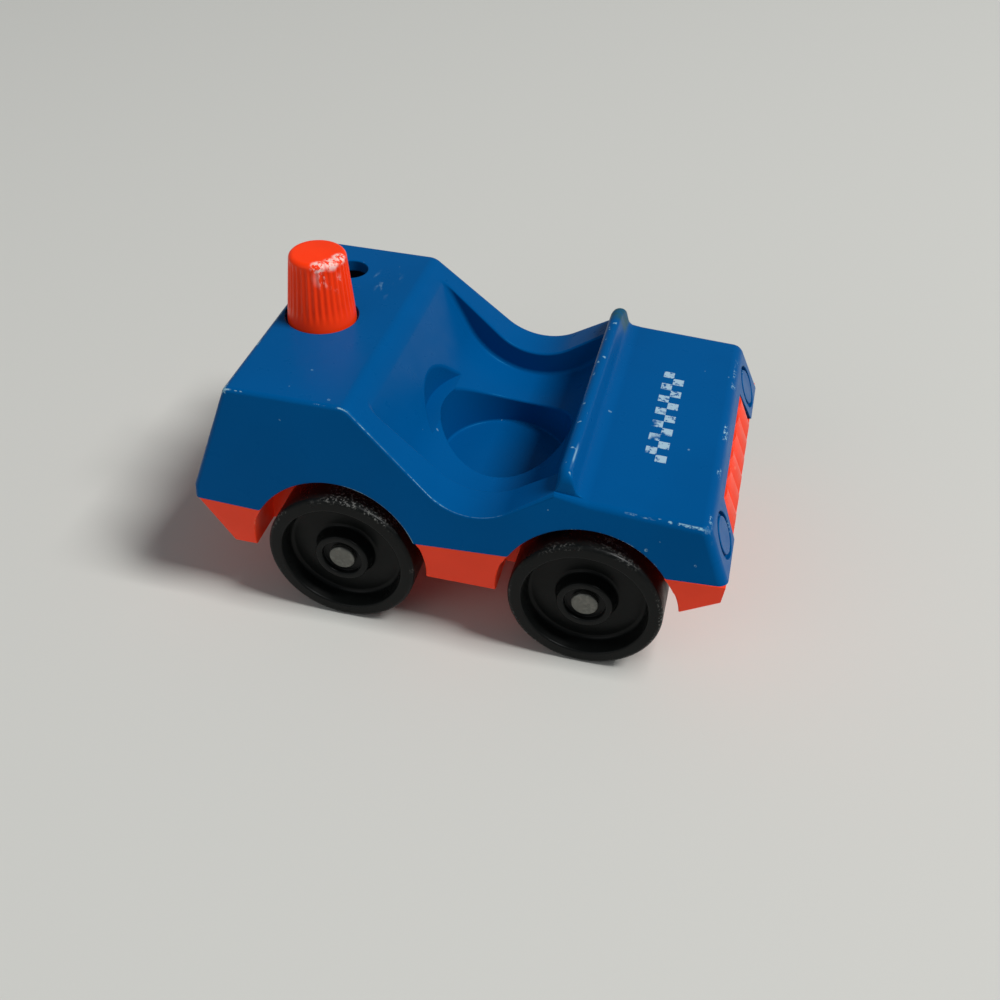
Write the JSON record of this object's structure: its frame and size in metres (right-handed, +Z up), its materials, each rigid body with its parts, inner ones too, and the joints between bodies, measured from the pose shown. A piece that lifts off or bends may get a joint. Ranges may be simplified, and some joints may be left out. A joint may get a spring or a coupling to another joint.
{
  "type": "toy police car",
  "caption": "Open-top moulded toy police car with a round seat socket for a peg figure, a fluted beacon on the rear deck, a ribbed grille and free-rolling wheels on steel axles.",
  "frame": {"origin": "on the ground, below the middle of the car's length and width", "axes": "+X forward along the car, +Y to the car's left, +Z up"},
  "size_m": [0.0944, 0.0622, 0.0571],
  "materials": {
    "blue_plastic": "worn gloss",
    "orange_plastic": "satin",
    "beacon_plastic": "satin, scuffed at the top edge",
    "black_plastic": "satin, scuffed at the shoulders",
    "axle_steel": "dull",
    "fastener_steel": "plated"
  },
  "bodies": {
    "car_body": {"body_shell": "blue_plastic", "chassis_base": "orange_plastic", "base_screws": "fastener_steel"},
    "front_wheelset": {"front_axle": "axle_steel", "wheel_front_left": "black_plastic", "wheel_front_right": "black_plastic"},
    "rear_wheelset": {"rear_axle": "axle_steel", "wheel_rear_left": "black_plastic", "wheel_rear_right": "black_plastic"},
    "beacon_light": {"beacon": "beacon_plastic", "beacon_push_nut": "fastener_steel"}
  },
  "joints": [
    {"name": "front_axle_spin", "type": "hinge", "parent": "car_body", "child": "front_wheelset", "pos_m": [0.02405, 0, 0.0137], "axis": [0, 1, 0], "continuous": true},
    {"name": "rear_axle_spin", "type": "hinge", "parent": "car_body", "child": "rear_wheelset", "pos_m": [-0.02025, 0, 0.0137], "axis": [0, 1, 0], "continuous": true},
    {"name": "beacon_spin", "type": "hinge", "parent": "car_body", "child": "beacon_light", "pos_m": [-0.033, 0, 0.0444], "axis": [0, 0, 1], "continuous": true}
  ]
}
